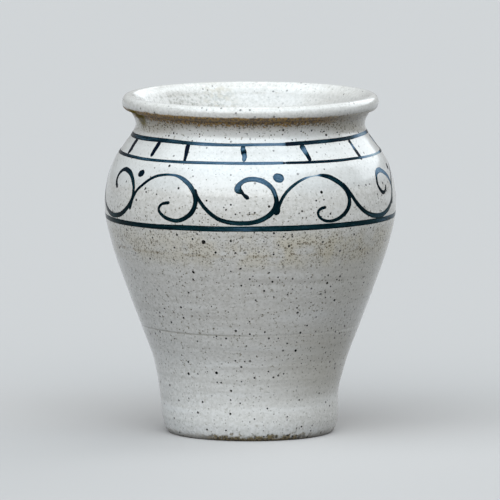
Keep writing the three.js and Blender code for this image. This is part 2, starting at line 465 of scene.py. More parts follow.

# %% [markdown]
# ## The rungs
#
# Short strokes pulled down with the tip of the brush join the two upper lines. The six that face the viewer
# each have their own lean and widths, and three of them run dry on the way; their pale stretches are partly
# a painted reflection of the sky. The seven on the far side are copied from them in turn, with a small seeded
# change, as the same hand would make them.

# %% Paint the rungs
FRONT_RUNGS = [
    [(-70.3, 159.2, 4.2, 1), (-69.8, 154.5, 4.0, 1), (-69.4, 150.7, 3.6, 1)],
    [(-48.9, 159.3, 3.2, 1), (-49.5, 155.5, 3.0, 1), (-49.9, 151.4, 2.6, 1)],
    [(-31.2, 159.4, 2.7, 1), (-30.8, 156.5, 2.5, 1), (-30.3, 153, 2.0, 1), (-30.1, 149.7, 1.2, 1)],
    [(-3.3, 160.1, 1.6, 1), (-3.4, 159.0, 2.2, 0.8), (-3.5, 157.7, 2.6, 0.48), (-3.2, 156.7, 2.8, 0.8),
     (-3.0, 155.9, 3.0, 1), (-2.8, 155.0, 2.6, 0.55), (-2.6, 153.8, 2.4, 0.46), (-2.8, 152.6, 2.2, 0.46),
     (-3.0, 151.4, 1.9, 0.7)],
    [(25.0, 159.4, 3.2, 1), (25.3, 158.3, 3.4, 0.75), (25.7, 157.0, 3.1, 0.42), (26.1, 155.7, 2.8, 0.42),
     (26.6, 154.2, 2.6, 0.8), (27.0, 152.6, 2.4, 1), (27.3, 150.8, 2.3, 1)],
    [(55.5, 159.6, 2.6, 1), (55.8, 158.2, 2.2, 0.85), (56.0, 156.6, 2.0, 0.4), (56.2, 155.2, 2.2, 0.5),
     (56.5, 153.6, 2.6, 1), (56.8, 151.6, 2.7, 1), (57.1, 149.1, 2.3, 1)],
]
BACK_RUNG_TURNS = [85.8, 114.9, 144.1, 173.3, 202.5, 231.7, 260.8]

paint_hand = random.Random(11)
rungs = list(FRONT_RUNGS)
for i, turn in enumerate(BACK_RUNG_TURNS):
    like = FRONT_RUNGS[(i + 4) % len(FRONT_RUNGS)]
    lean = paint_hand.uniform(-0.4, 0.6)
    shift = turn - like[0][0]
    rungs.append([
        (t + shift + lean * (160 - h) / 10, h + paint_hand.uniform(-0.15, 0.15), w, load_and_reflection)
        for t, h, w, load_and_reflection in like
    ])
for i, touches in enumerate(rungs, start=1):
    rung = lay_stroke(f"brushed_rung_{i}", touches, LIFT["rung"])
    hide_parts(f"rung_{i}")
    strokes.append(rung)
print("rungs painted:", len(rungs))

# %% [markdown]
# ## The running scroll
#
# The scroll is two strokes that take turns. An arch springs from the last loop, goes over and curls in under
# itself. The next loop falls from the arch's shoulder, swings along the belly line and curls over at the top.
# The ones in view are written down touch by touch, with their thin crests, blots and dry ends. Their pale
# crests and tops are partly thin paint and partly a painted reflection of the sky.

# %% Arches in view
ARCH_2 = [
    (-55.6, 123.4, 1.6, 1), (-54.8, 125.6, 2.0, 1), (-53.5, 130.2, 1.9, 1), (-51.7, 134, 1.7, 1),
    (-48.8, 137.2, 1.7, 1), (-45.4, 140.3, 1.6, 0.95), (-42, 142.3, 1.5, 0.9), (-37.8, 143.4, 1.3, 0.8),
    (-34.2, 143.6, 1.2, 0.55), (-31.4, 143.2, 1.5, 0.55), (-28.3, 141.7, 2.2, 0.6), (-25.4, 139.2, 2.5, 0.65),
    (-23.5, 136.4, 2.6, 0.75), (-22.4, 133.5, 2.6, 0.95), (-22.1, 130.3, 2.6, 1), (-22.6, 127.1, 2.6, 1),
    (-24, 124.2, 2.6, 1), (-26.2, 121.9, 2.4, 1), (-28.8, 120.4, 2.2, 0.9), (-31.4, 120.1, 2.1, 0.85),
    (-35, 121.2, 2.0, 1), (-37.6, 123.4, 1.8, 1), (-38.6, 125.8, 1.6, 1), (-37, 128.4, 1.6, 1),
    (-33.4, 129.4, 1.8, 1),
]
ARCH_3 = [
    (9.3, 124.6, 1.7, 1), (10.7, 125.6, 2.3, 1), (11.2, 128.6, 1.8, 1), (12.5, 132.3, 1.7, 1),
    (14.2, 135.4, 1.7, 0.8), (16.7, 138.4, 1.6, 0.75), (19.6, 140.8, 1.4, 0.75), (22.8, 142.5, 1.1, 0.5),
    (25, 143.2, 0.7, 0.2), (27.5, 143.6, 0.55, 0.05), (29.2, 143.7, 0.9, 0.35), (30.9, 143.6, 1.7, 0.8),
    (34.2, 142.6, 2.5, 0.85), (37.3, 140.5, 2.8, 0.85), (40.1, 137.9, 2.8, 0.9), (41.9, 134.8, 2.7, 1),
    (42.8, 131.2, 2.6, 1), (42.5, 127.6, 2.6, 1), (41, 124.3, 2.5, 1), (38.4, 121.7, 2.2, 1),
    (35.4, 120.1, 1.9, 0.95), (32.4, 119.7, 1.6, 1), (29.6, 120.6, 1.5, 1), (27.8, 122.6, 1.5, 1),
    (27.4, 124.8, 1.5, 1), (28.7, 126.5, 1.6, 1), (31.2, 127.3, 1.8, 1),
]
print("touches in the two arches:", len(ARCH_2), len(ARCH_3))

# %% Loops in view
LOOP_1 = [
    (-88.5, 133.5, 2.0, 0.9), (-86, 128.4, 2.4, 1), (-82.4, 123.6, 2.6, 1), (-77.4, 120.6, 2.7, 1),
    (-72, 118.9, 2.7, 0.9), (-66.6, 118.9, 2.6, 0.85), (-61.4, 120.6, 2.5, 1), (-56.8, 124.6, 2.5, 1),
    (-54.2, 129.4, 2.2, 1), (-54, 134.4, 2.2, 0.95), (-55.4, 138.2, 2.4, 0.85), (-58, 141.4, 2.6, 0.85),
    (-61.4, 143.1, 2.5, 0.9), (-65, 143.4, 2.3, 0.95), (-68.3, 141.2, 2.2, 1), (-69.5, 138.2, 2.3, 1),
    (-68.9, 135.6, 2.4, 1), (-67, 133.6, 2.2, 1),
]
LOOP_2 = [
    (-22.6, 137.2, 1.2, 1), (-21.4, 133.2, 1.8, 1), (-19.2, 129.2, 2.0, 1), (-16.6, 125.7, 2.1, 0.95),
    (-13.7, 122.8, 2.2, 0.95), (-10.6, 121, 2.3, 0.95), (-6.8, 120.1, 2.4, 0.85), (-2.3, 119.9, 2.4, 0.85),
    (1.5, 120.5, 2.5, 0.85), (4.9, 122.1, 2.6, 0.85), (7.8, 124.6, 2.7, 0.95), (9.6, 127.8, 2.7, 1),
    (10.3, 131, 2.6, 1), (10.1, 133.2, 2.5, 0.95), (9.9, 134.4, 2.4, 0.65), (8.9, 137.6, 2.4, 0.6),
    (7, 140.2, 2.5, 0.55), (4.2, 142.1, 2.6, 0.5), (0.9, 142.8, 2.5, 0.5), (-2, 142.2, 2.4, 0.55),
    (-4, 140.6, 2.4, 0.6), (-4.9, 138.8, 3.4, 0.6), (-4.9, 137.4, 4.0, 0.65), (-4.0, 136.5, 3.0, 0.9),
    (-3.3, 135.9, 2.0, 1), (-2.7, 135, 1.5, 1), (-1.7, 133.8, 2.2, 1), (-0.6, 132.6, 2.0, 1),
]
LOOP_3 = [
    (40.4, 139, 1.4, 1), (42.6, 135.4, 1.9, 1), (44.6, 131.6, 2.2, 1), (47, 127.5, 2.3, 1),
    (50.1, 124, 2.4, 0.95), (53.8, 121.4, 2.5, 0.9), (58.1, 119.9, 2.7, 0.8), (63.9, 119.5, 2.7, 0.7),
    (69.3, 121.2, 2.6, 0.8), (73.7, 124.1, 2.5, 0.9), (76.6, 127.9, 2.4, 0.9), (78, 131.6, 2.3, 0.75),
    (77.2, 136, 2.3, 0.55), (74, 139.6, 2.4, 0.4), (69.6, 142.2, 2.6, 0.3), (66.4, 142.5, 2.6, 0.3),
    (63.8, 141, 2.2, 0.5), (62.7, 138, 1.9, 0.9), (62.9, 134.8, 2.0, 1), (65.2, 131.6, 2.2, 1),
    (67.4, 131, 2.0, 1), (69.4, 132.4, 1.6, 1), (70.4, 134.6, 1.2, 0.9),
]
print("touches in the three loops:", len(LOOP_1), len(LOOP_2), len(LOOP_3))

# %% [markdown]
# ## The far side of the scroll
#
# Nobody has seen the back of this pot, so it repeats the front. A cell is one arch and one loop. The front
# cells are about 66 degrees wide and the back ones 54, so their strokes are squeezed to fit, and each touch
# moves a little so that no two cells look stamped.

# %% Paint the whole scroll
CELL_TURNS = [-120.5, -54.5, 11.5, 76.5, 130.83, 185.17]
FRONT_WIDTH, BACK_WIDTH = 66, 54.33
CELL_WIDTHS = [FRONT_WIDTH, FRONT_WIDTH, 65, BACK_WIDTH, BACK_WIDTH, BACK_WIDTH]
HOME_2, HOME_3 = CELL_TURNS[1:3]


def in_cell(touches, home, cell):
    """The touches of a stroke moved from the cell they were written for to another one."""
    squeeze = CELL_WIDTHS[cell] / FRONT_WIDTH
    moved = []
    for turn, height, width, load_and_reflection in touches:
        moved.append((
            CELL_TURNS[cell] + (turn - home) * squeeze + paint_hand.uniform(-0.25, 0.25),
            height + paint_hand.uniform(-0.2, 0.2),
            width * paint_hand.uniform(0.93, 1.07),
            load_and_reflection + paint_hand.uniform(-0.08, 0.05),
        ))
    return moved


arches = {2: ARCH_2, 3: ARCH_3}
loops = {1: LOOP_1, 2: LOOP_2, 3: LOOP_3}
arches[1] = in_cell(ARCH_2, HOME_2, 0)
arches[4] = in_cell(ARCH_2, HOME_2, 3)
arches[5] = in_cell(ARCH_3, HOME_3, 4)
arches[6] = in_cell(ARCH_2, HOME_2, 5)
loops[4] = in_cell(LOOP_3, HOME_3, 3)
loops[5] = in_cell(LOOP_2, HOME_2, 4)
loops[6] = in_cell(LOOP_3, HOME_3, 5)
for i in range(1, 7):
    arch = lay_stroke(f"brushed_arch_{i}", arches[i], LIFT["arch"], waver=0.08)
    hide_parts(f"scroll_arch_{i}")
    loop = lay_stroke(f"brushed_loop_{i}", loops[i], LIFT["loop"], waver=0.08)
    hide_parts(f"scroll_loop_{i}")
    strokes += [arch, loop]
print("scroll strokes painted:", len(arches) + len(loops))

# %% [markdown]
# ## The dots
#
# A dab of the brush fills each gap between two motifs. It is a stroke only a few millimetres long and about
# as wide, so the rounded ends make it an oval.

# %% Paint the dots
DOTS = {
    2: [(-53.3, 142.1, 3.0, 1), (-51.4, 142.8, 3.7, 0.95), (-49.5, 143.4, 3.0, 1)],
    3: [(9.3, 143.9, 3.6, 0.6), (11.6, 143.3, 4.6, 0.5), (13.9, 142.5, 3.8, 0.6)],
    4: [(79.6, 143.0, 2.8, 0.9), (81.0, 142.8, 3.2, 0.9), (82.4, 142.4, 2.6, 0.9)],
}
DOTS[1] = in_cell(DOTS[2], HOME_2, 0)
DOTS[5] = in_cell(DOTS[3], HOME_3, 4)
DOTS[6] = in_cell(DOTS[2], HOME_2, 5)
for i, touches in DOTS.items():
    dab = lay_stroke(f"brushed_dot_{i}", touches, LIFT["dot"], waver=0.12)
    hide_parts(f"scroll_dot_{i}")
    strokes.append(dab)
print("strokes in all:", len(strokes))

# %% [markdown]
# ## Working with nodes
#
# Every finish here is made of nodes. A few helpers keep the recipes short: they add a node and fill or link
# its sockets, do one step of arithmetic, turn a range of a value into a soft mask, and lay one colour over
# another. Each finds its node tree through the values it is given.

# %% Node helpers
def fill(node, **sockets):
    """Sets or links a node's sockets. A name is written with _ for a space, or as i and a number."""
    for name, value in sockets.items():
        socket = node.inputs[int(name[1:])] if name[1:].isdigit() else node.inputs[name.replace("_", " ")]
        if isinstance(value, bpy.types.NodeSocket):
            node.id_data.links.new(value, socket)
        else:
            socket.default_value = value


def add_node(tree, kind, settings=None, **sockets):
    """Adds a node with its settings, and values or links for its sockets."""
    made = tree.nodes.new("ShaderNode" + kind)
    for name, value in (settings or {}).items():
        setattr(made, name, value)
    fill(made, **sockets)
    return made


def combine(operation, a, b=0.0):
    """One step of arithmetic between two values, at least one of which comes from a node."""
    tree = (a if isinstance(a, bpy.types.NodeSocket) else b).id_data
    return add_node(tree, "Math", {"operation": operation}, i0=a, i1=b).outputs[0]


times = partial(combine, "MULTIPLY")
plus = partial(combine, "ADD")
minus = partial(combine, "SUBTRACT")
larger = partial(combine, "MAXIMUM")
size_of = partial(combine, "ABSOLUTE")
print("node helpers ready")

# %% Masks and layers
def mask(value, start, end):
    """A soft mask that goes from 0 where the value is start to 1 where it is end."""
    soft = {"interpolation_type": "SMOOTHSTEP"}
    return add_node(value.id_data, "MapRange", soft, Value=value, From_Min=start, From_Max=end).outputs[0]


def distance(where, point=(0, 0, 0)):
    """How far a place is from a point, in metres."""
    between = add_node(where.id_data, "VectorMath", {"operation": "DISTANCE"}, i0=where, i1=point)
    return between.outputs["Value"]


def lay_over(below, above, where):
    """The colour above laid over the colour below where the mask is 1."""
    below, above = [c if isinstance(c, bpy.types.NodeSocket) else (*c, 1) for c in (below, above)]
    return add_node(where.id_data, "Mix", {"data_type": "RGBA"}, i0=where, i6=below, i7=above).outputs[2]


def layered(ground, *layers):
    """Lays colours over the ground in turn. Each layer is a colour, a mask and how strong it is."""
    for colour, where, strength in layers:
        ground = lay_over(ground, colour, times(where, strength))
    return ground


def new_finish(name):
    """A new material, its node tree and its Principled shader."""
    finish = bpy.data.materials.new(name)
    finish.use_nodes = True
    return finish, finish.node_tree, finish.node_tree.nodes["Principled BSDF"]


print("masks and layers ready")

# %% [markdown]
# ## The glaze: its ground
#
# The glaze is a pale grey with a trace of warmth. Close up it is mottled at about two millimetres and
# freckled at one, and it has faint level streaks, dark and pale, from the fingers. Object coordinates carry
# the pattern, so it runs on unbroken from one section of clay to the next.

# %% Patterns that know their place on the pot
glaze, pot, glassy = new_finish("speckled_pale_glaze")
place = add_node(pot, "TexCoord").outputs["Object"]
left_right, front_back, up = add_node(pot, "SeparateXYZ", Vector=place).outputs


def cloud(size, detail=2.0, stretch=(1, 1, 1), seed=0.0, where=place):
    """Noise whose blots are about this many millimetres across, squashed along the axes by stretch."""
    offset = (seed, seed * 0.7, seed * 0.3)
    moved = add_node(where.id_data, "Mapping", Vector=where, Scale=stretch, Location=offset).outputs[0]
    return add_node(where.id_data, "TexNoise", Vector=moved, Scale=1000 / size, Detail=detail).outputs[0]


def blots_of(size, start, end, **kind):
    """A mask of the blots of a cloud, soft between two levels of its noise."""
    return mask(cloud(size, **kind), start, end)


def height_band(low, high, blur):
    """A mask of the heights between low and high, in millimetres, soft over the blur."""
    rise = mask(up, (low - blur) * MM, (low + blur) * MM)
    return times(rise, mask(up, (high + blur) * MM, (high - blur) * MM))


print("patterns of the glaze ready")

# %% Mottled ground
GREYER, PALER = (0.60, 0.555, 0.505), (0.72, 0.672, 0.628)
FRECKLE, DRIFT = (0.42, 0.385, 0.335), (0.675, 0.625, 0.572)
DARK_STREAK, PALE_STREAK = (0.46, 0.42, 0.375), (0.80, 0.76, 0.725)

ground = layered(
    lay_over(GREYER, PALER, blots_of(1.7, 0.34, 0.64, detail=3.0)),
    (FRECKLE, blots_of(0.9, 0.52, 0.70, seed=0.35), 0.42),
    (DRIFT, blots_of(38, 0.35, 0.7, seed=0.2), 0.35),
    (DARK_STREAK, blots_of(70, 0.5, 0.72, detail=3.0, stretch=(1, 1, 20), seed=0.5), 0.38),
    (PALE_STREAK, blots_of(55, 0.52, 0.72, stretch=(1, 1, 9), seed=0.8), 0.45),
)
print("glaze ground made")

# %% [markdown]
# ## The glaze: where iron shows, and painted light and shade
#
# Iron burns through where the glaze is thin. It gives a warm cloud under the belly, deeper on the right, a
# tan line on the ledge, a thin grey line at the joint, and a brown ring in the crease of the rim, which turns
# yellow at its left end. Under the crease the brown reaches lower and is stronger at the sides of the neck,
# partly as painted shade. The right flank is browned under the belly, partly a warm stain and partly painted
# shade, and darkened above the foot as painted shade. The hollow of the neck, most at its front, and the rim
# are made paler as painted light, and the shoulder band under the neck line paler and cooler as a painted
# highlight. Each is a soft band of height, and most are broken up by noise or fade towards one side. A height
# band and a cloud are given in millimetres. Every other place or distance is compared with Blender's
# coordinates, so it is in metres.

# %% Warm cloud, ledge, joint and neck
WARM_TAN, FLANK_STAIN_AND_PAINTED_SHADE, LEDGE_BROWN = (0.62, 0.53, 0.385), (0.48, 0.42, 0.33), (0.38, 0.31, 0.21)
JOINT_GREY, SHOULDER_PAINTED_HIGHLIGHT, PAINTED_LIGHT_PALE = (0.34, 0.31, 0.26), (0.71, 0.69, 0.665), (0.82, 0.80, 0.77)
JOINT_WANDER = 0.0024

warmth = times(height_band(97, 113, 6), blots_of(12, 0.34, 0.6, detail=4.0, seed=0.9))
warmth = times(warmth, plus(times(mask(left_right, -0.05, 0.06), 0.5), 0.5))
# the right flank under the belly is browned, partly a warm stain and partly painted shade; above the foot it
# is painted shade
belly_flank_stain_and_shade = times(height_band(72, 112, 12), mask(left_right, 0.02, 0.065))
low_flank_painted_shade = times(height_band(24, 60, 10), mask(left_right, 0.0, 0.045))
ledge_line = times(blots_of(9, 0.42, 0.62, detail=4.0), height_band(101.1, 102.6, 0.7))
joint_height = plus(up, times(cloud(60, 1.0, seed=0.4), JOINT_WANDER))
off_joint = size_of(minus(joint_height, (SEAM + 1.2) * MM))
joint_line = times(mask(off_joint, 0.0006, 0.0001), mask(left_right, 0.025, -0.02))
joint_line = times(joint_line, mask(front_back, 0.02, -0.02))
sideways = mask(size_of(left_right), 0.026, 0.056)
# painted light: the hollow of the neck is made paler, less towards its sides
neck_painted_light = times(height_band(161, 168, 1.5), minus(1, times(sideways, 0.8)))
# the top of the rim, whose glaze is made a little paler as painted light, and where specks are fewer
on_rim = height_band(174.8, 190, 0.8)
ground = layered(
    ground,
    (WARM_TAN, warmth, 0.75),
    (FLANK_STAIN_AND_PAINTED_SHADE, larger(belly_flank_stain_and_shade, low_flank_painted_shade), 0.5),
    (LEDGE_BROWN, ledge_line, 0.45),
    (JOINT_GREY, joint_line, 0.75),
    # painted highlight: the shoulder band under the neck line is made paler and cooler
    (SHOULDER_PAINTED_HIGHLIGHT, height_band(136, 161, 3), 0.5),
    # painted light on the hollow of the neck and on the rim
    (PAINTED_LIGHT_PALE, neck_painted_light, 0.6),
    (PAINTED_LIGHT_PALE, on_rim, 0.12),
)
print("warm bands laid")

# %% Brown crease with a yellow end
STAIN_AND_SHADE_BROWN, GOLD = (0.40, 0.345, 0.25), (0.17, 0.12, 0.0)
BURNT, SOOTY = (0.32, 0.165, 0.015), (0.07, 0.03, 0.003)
GOLD_AT = (-0.0592, -0.0245, 0.1706)

from_middle = distance(add_node(pot, "CombineXYZ", X=left_right, Y=front_back).outputs[0])
crease_edge = plus(up, times(cloud(4, 3.0, seed=0.1), 0.0016))
crease_edge = plus(crease_edge, times(mask(left_right, 0.01, 0.04), 0.0007))
crease_top = times(mask(crease_edge, 0.1756, 0.1748), mask(from_middle, 0.0595, 0.0605))
ragged_up = plus(up, times(cloud(1.1, 3.0, seed=0.1), 0.0085))
crease = times(mask(ragged_up, 0.1733, 0.1743), crease_top)
crease = times(crease, minus(1, times(mask(left_right, 0.034, 0.054), 0.7)))
# a brown stain under the crease; at the sides of the neck it reaches lower and is stronger, partly painted
# shade
crease_stain_and_side_shade = times(mask(plus(up, times(sideways, 0.005)), 0.1655, 0.1715), crease_top)
soot = blots_of(1.2, 0.44, 0.6)
golden = times(mask(distance(place, GOLD_AT), 0.0085, 0.0045), crease_top)
ground = layered(
    ground,
    (STAIN_AND_SHADE_BROWN, crease_stain_and_side_shade, plus(times(sideways, 0.2), 0.55)),
    (lay_over(BURNT, SOOTY, soot), crease, 0.92),
    (GOLD, golden, 0.92),
)
print("crease browned")

# %% Painted shade, dust and a smudge inside the neck
SMUDGE, INSIDE_PAINTED_SHADE, DUST_AND_SHADE = (0.42, 0.34, 0.22), (0.52, 0.49, 0.46), (0.36, 0.34, 0.30)
SMUDGE_AT = (-0.017, 0.056, 0.169)

smudge = times(mask(distance(place, SMUDGE_AT), 0.015, 0.003), blots_of(3, 0.4, 0.6, detail=4.0))
# painted shade: the whole inside is greyed, and the mottle is heavier on the left, partly dust and partly
# painted shade
within = times(mask(from_middle, 0.0612, 0.0596), mask(up, 0.150, 0.152))
dust_and_shade_mottle = times(blots_of(1.6, 0.45, 0.66, detail=4.0, seed=0.45), within)
dust_and_shade_mottle = times(dust_and_shade_mottle, plus(mask(left_right, 0.01, -0.03), 0.5))
ground = layered(ground, (SMUDGE, smudge, 0.85), (INSIDE_PAINTED_SHADE, within, 0.5), (DUST_AND_SHADE, dust_and_shade_mottle, 0.6))
print("inside dusted")

# %% Bare foot
RUSTY, RUST_SHADE = (0.21, 0.15, 0.06), (0.03, 0.022, 0.01)

worn = plus(up, times(cloud(2.4, 5.0, seed=0.6), -0.011))
bare = mask(worn, -0.0013, -0.0036)
wiped = times(mask(left_right, -0.028, -0.017), mask(left_right, 0.036, 0.022))
ground = layered(ground, (lay_over(RUSTY, RUST_SHADE, soot), bare, plus(times(wiped, 0.68), 0.3)))
print("foot left bare")

# %% [markdown]
# ## The glaze: iron specks
#
# Specks of iron in the clay melt into the glaze as dark dots. Voronoi cells give evenly scattered centres,
# and the distance to the nearest one makes a round dot. Three kinds are laid over each other, from crowded
# fine ones to a few far apart, with a brown kind for the warm bands. Each cell's random colour decides how
# big its dot is, and a little noise keeps the dots from being perfect circles. Soft flecks of noise lie
# between them, thickest under the belly line. On the band where the lines are ruled and on the rim the dots
# are fainter, and inside the neck they nearly vanish.

# %% A mask of specks
SHAKE_SCALE, SHAKE, SOFT_EDGE = 2600.0, 0.22 * MM, 0.12

shaky = add_node(pot, "TexNoise", Vector=place, Scale=SHAKE_SCALE, Detail=1.0).outputs["Color"]
shaky = add_node(pot, "VectorMath", {"operation": "SCALE"}, i0=shaky, Scale=SHAKE).outputs[0]
shaky_place = add_node(pot, "VectorMath", {"operation": "ADD"}, i0=place, i1=shaky).outputs[0]


def specks(spacing, size, share, seed):
    """A mask of dots, from the spacing of their centres, their largest size and how many cells have one."""
    moved = add_node(pot, "Mapping", Vector=shaky_place, Location=(seed, seed, seed)).outputs[0]
    cells = add_node(pot, "TexVoronoi", Vector=moved, Scale=1000 / spacing)
    chance = add_node(pot, "SeparateColor", Color=cells.outputs["Color"]).outputs[0]
    reach = times(mask(chance, 1 - share, 1.0), size / 2 / spacing)
    return mask(minus(reach, cells.outputs["Distance"]), 0.0, SOFT_EDGE / spacing)


print("specks are shaken by up to", round(SHAKE / MM, 2), "mm")

# %% Specks in four kinds, with flecks between them
FLECK, PEPPER, FINE_SPECK = (0.27, 0.24, 0.185), (0.17, 0.14, 0.095), (0.12, 0.10, 0.07)
BROWN_SPECK, DARK_IRON, BLACK_IRON = (0.12, 0.085, 0.04), (0.02, 0.016, 0.012), (0.015, 0.013, 0.012)

# fewer specks on the ruled band, partly as painted highlight, on the rim and inside the neck
sparse = larger(times(larger(height_band(138, 160, 3), on_rim), 0.6), within)
clear = minus(1, times(sparse, 0.8))
crowded = larger(larger(height_band(34, 130, 9), height_band(161, 172, 2)), 0.55)
crowded = times(crowded, clear)
clusters = times(plus(blots_of(16, 0.38, 0.52, detail=3.0, seed=0.65), 0.25), clear)
pepper = times(blots_of(1.0, 0.59, 0.67, seed=0.77), height_band(97, 116, 4))
browned = larger(larger(warmth, ledge_line), crease_stain_and_side_shade)
middle_specks = times(specks(2.5, 1.5, 0.38, 0.57), clusters)
ground = layered(
    ground,
    (FLECK, blots_of(1.4, 0.60, 0.70, detail=3.0, seed=0.31), crowded),
    (PEPPER, pepper, 0.8),
    (FINE_SPECK, specks(1.5, 1.0, 0.4, 0.31), crowded),
    (BROWN_SPECK, specks(1.1, 1.35, 0.85, 0.13), browned),
    (DARK_IRON, middle_specks, 1),
    (BLACK_IRON, specks(6.5, 1.5, 0.22, 0.83), clear),
)
print("specks scattered")

# %% [markdown]
# ## The glaze: its skin
#
# Fired glaze is glassy, with a soft ripple like the skin of an orange and slight pits at the specks. The
# colour goes into the Principled shader, whose coat is the clear glassy top. The ripple and the specks drive
# a bump. The bare foot and the crease are rougher, and the crease's yellow end has hardly any gloss.

# %% Finish the glaze
haze = times(blots_of(9, 0.3, 0.7, detail=3.0, seed=0.7), 0.08)
ripple = plus(cloud(1.6), times(cloud(12, 1.0), 2.0))
pitted = minus(ripple, times(middle_specks, 0.5))
fill(
    glassy,
    Base_Color=ground,
    Roughness=plus(plus(haze, 0.14), times(larger(bare, crease), 0.5)),
    IOR=1.5,
    Specular_IOR_Level=minus(0.6, times(golden, 0.55)),
    Coat_Weight=minus(0.25, times(golden, 0.25)),
    Coat_Roughness=0.05,
    Normal=add_node(pot, "Bump", Strength=0.35, Distance=0.12 * MM, Height=pitted).outputs[0],
)
for clay in (base, upper, rim):
    clay.data.materials.clear()
    clay.data.materials.append(glaze)
    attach(clay, "root")
print("nodes in the glaze:", len(pot.nodes))

# %% [markdown]
# ## The oxide paint
#
# Where the brush leaves much oxide it fires to a deep blue-green, nearly black. Where it is thin the pale
# glaze shines through and it turns slate blue, and the same pale tones also paint the sky's reflection on the
# glossy paint. The load of each touch, which carries both, sets that, the bristles leave streaks along the
# stroke, and the wet paint gathers at both edges, which the UV map's second axis finds. Towards the neck the
# thick touches are turned bluer as a painted reflection of the blue sky.

# %% Mix the paint
paint, oxide, wet = new_finish("blue_green_oxide_under_glaze")
oxide_place = add_node(oxide, "TexCoord").outputs["Object"]
load_and_reflection = add_node(oxide, "Attribute", {"attribute_name": "load_and_reflection"}).outputs["Fac"]
along_across = add_node(oxide, "UVMap", {"uv_map": "UVMap"}).outputs[0]
across = add_node(oxide, "SeparateXYZ", Vector=along_across).outputs[1]
edges = mask(size_of(minus(across, 0.5)), 0.26, 0.46)
bristles = add_node(oxide, "Mapping", Vector=along_across, Scale=(0.9, 7, 1)).outputs[0]
bristles = add_node(oxide, "TexNoise", Vector=bristles, Scale=1.0, Detail=2.0).outputs[0]
grain = cloud(0.9, 3.0, where=oxide_place)
# the depth also carries the painted reflection of the sky, through the load
depth = plus(load_and_reflection, times(edges, 0.15))
depth = plus(depth, times(minus(bristles, 0.5), 0.8))
depth = plus(depth, times(minus(grain, 0.5), 0.3))
print("depth of paint mixed")

# %% Colour the paint by its depth and its painted reflection
# the thin wash and the middle tones also colour the painted reflection of the sky
THIN_WASH_AND_REFLECTION, FULL_COLOUR, PAINTED_SKY_BLUE = (0.34, 0.42, 0.46), (0.0005, 0.006, 0.009), (0.0004, 0.0016, 0.011)
MIDDLE_TONES = [(0.3, (0.14, 0.22, 0.31)), (0.55, (0.045, 0.095, 0.15)), (0.8, (0.004, 0.028, 0.034))]

tone = add_node(oxide, "ValToRGB", Fac=depth)
tones = tone.color_ramp.elements
tones[0].color, tones[1].color = (*THIN_WASH_AND_REFLECTION, 1), (*FULL_COLOUR, 1)
for position, colour in MIDDLE_TONES:
    tones.new(position).color = (*colour, 1)
oxide_height = add_node(oxide, "SeparateXYZ", Vector=oxide_place).outputs[2]
# painted reflection: thick paint towards the neck is turned bluer, as the blue sky's reflection
bluer_painted_reflection = times(mask(oxide_height, 0.124, 0.152), mask(depth, 0.6, 1.0))
skin_ripple = plus(cloud(1.6, where=oxide_place), times(bristles, 0.3))
fill(
    wet,
    Base_Color=lay_over(tone.outputs[0], PAINTED_SKY_BLUE, times(bluer_painted_reflection, 0.7)),
    Roughness=0.16,
    IOR=1.45,
    Specular_IOR_Level=0.03,
    Normal=add_node(oxide, "Bump", Strength=0.3, Distance=0.1 * MM, Height=skin_ripple).outputs[0],
)
for stroke in strokes:
    stroke.data.materials.clear()
    stroke.data.materials.append(paint)
    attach(stroke, "root")
print("paint on", len(strokes), "strokes, in", len(tones), "tones")

# %% [markdown]
# ## The iron blots
#
# Here and there a lump of iron in the clay melts into a blot of one or two millimetres, nearly black and less
# glossy than the glaze. Dots in the glaze's colour would take on its shine, so the blots are pieces. Each is
# a dab of the same strip, as long as it is wide, and they are joined to one object.

# %% Where the blots sit
BLOTS = [
    (-18.9, 109.4, 2.3), (-30.3, 112.6, 1.3), (-14.2, 103.9, 1.3), (-24.8, 92.4, 1.1), (15.6, 107.4, 1.3),
    (43.0, 75.7, 1.5), (36.1, 85.7, 1.4), (-34.9, 72.5, 1.3), (26.7, 59.0, 1.3), (-43.6, 63.5, 1.2),
    (25.8, 49.1, 1.5), (-40.3, 35.4, 1.6), (-20.6, 37.0, 1.7), (-12.9, 15.0, 1.2), (11.0, 17.9, 1.0),
    (29.5, 135.1, 1.7), (26.8, 130.9, 1.1), (-36.9, 148.0, 1.4), (39.4, 165.2, 1.4), (48.8, 163.9, 1.4),
    (-23.5, 110.7, 1.2), (-42.6, 109.9, 1.1), (-7.8, 110.3, 1.3), (-4.0, 86.0, 1.1), (2.4, 77.9, 1.0),
    (-47.3, 80.9, 0.9), (30.2, 108.7, 1.2), (11.3, 108.0, 1.0), (55.9, 113.7, 1.1), (9.6, 88.0, 1.2),
    (7.9, 93.0, 1.0), (35.7, 90.1, 1.0), (41.2, 87.2, 1.0), (46.5, 60.0, 1.0), (51.6, 102.8, 1.1),
    (56.8, 94.6, 1.0), (7.4, 60.1, 1.0), (-38.8, 42.0, 1.2), (-20.7, 31.9, 0.9), (-2.1, 52.4, 0.8),
    (33.2, 21.6, 1.0), (20.0, 53.4, 1.0), (20.3, 36.5, 0.9), (50.3, 23.9, 1.0), (-42.7, 45.4, 0.9),
    (-40.3, 133.1, 0.9), (-10.4, 128.1, 0.8), (-45.3, 121.1, 0.9), (53.9, 136.5, 1.1), (30.3, 131.1, 0.9),
    (19.3, 124.7, 0.8), (32.8, 146.6, 0.8), (25.9, 166.1, 1.0), (-1.6, 165.4, 0.8), (-21.3, 163.5, 0.8),
]
FAR_SIDE_BLOTS = 60
BLOT_SIZES = (0.8, 0.9, 1.0, 1.1, 1.3, 1.7)

for _ in range(FAR_SIDE_BLOTS):
    turn = paint_hand.uniform(70, 290)
    height = paint_hand.choice((paint_hand.uniform(14, 114), paint_hand.uniform(40, 110)))
    BLOTS.append((turn, height, paint_hand.choice(BLOT_SIZES)))
print("blots:", len(BLOTS))

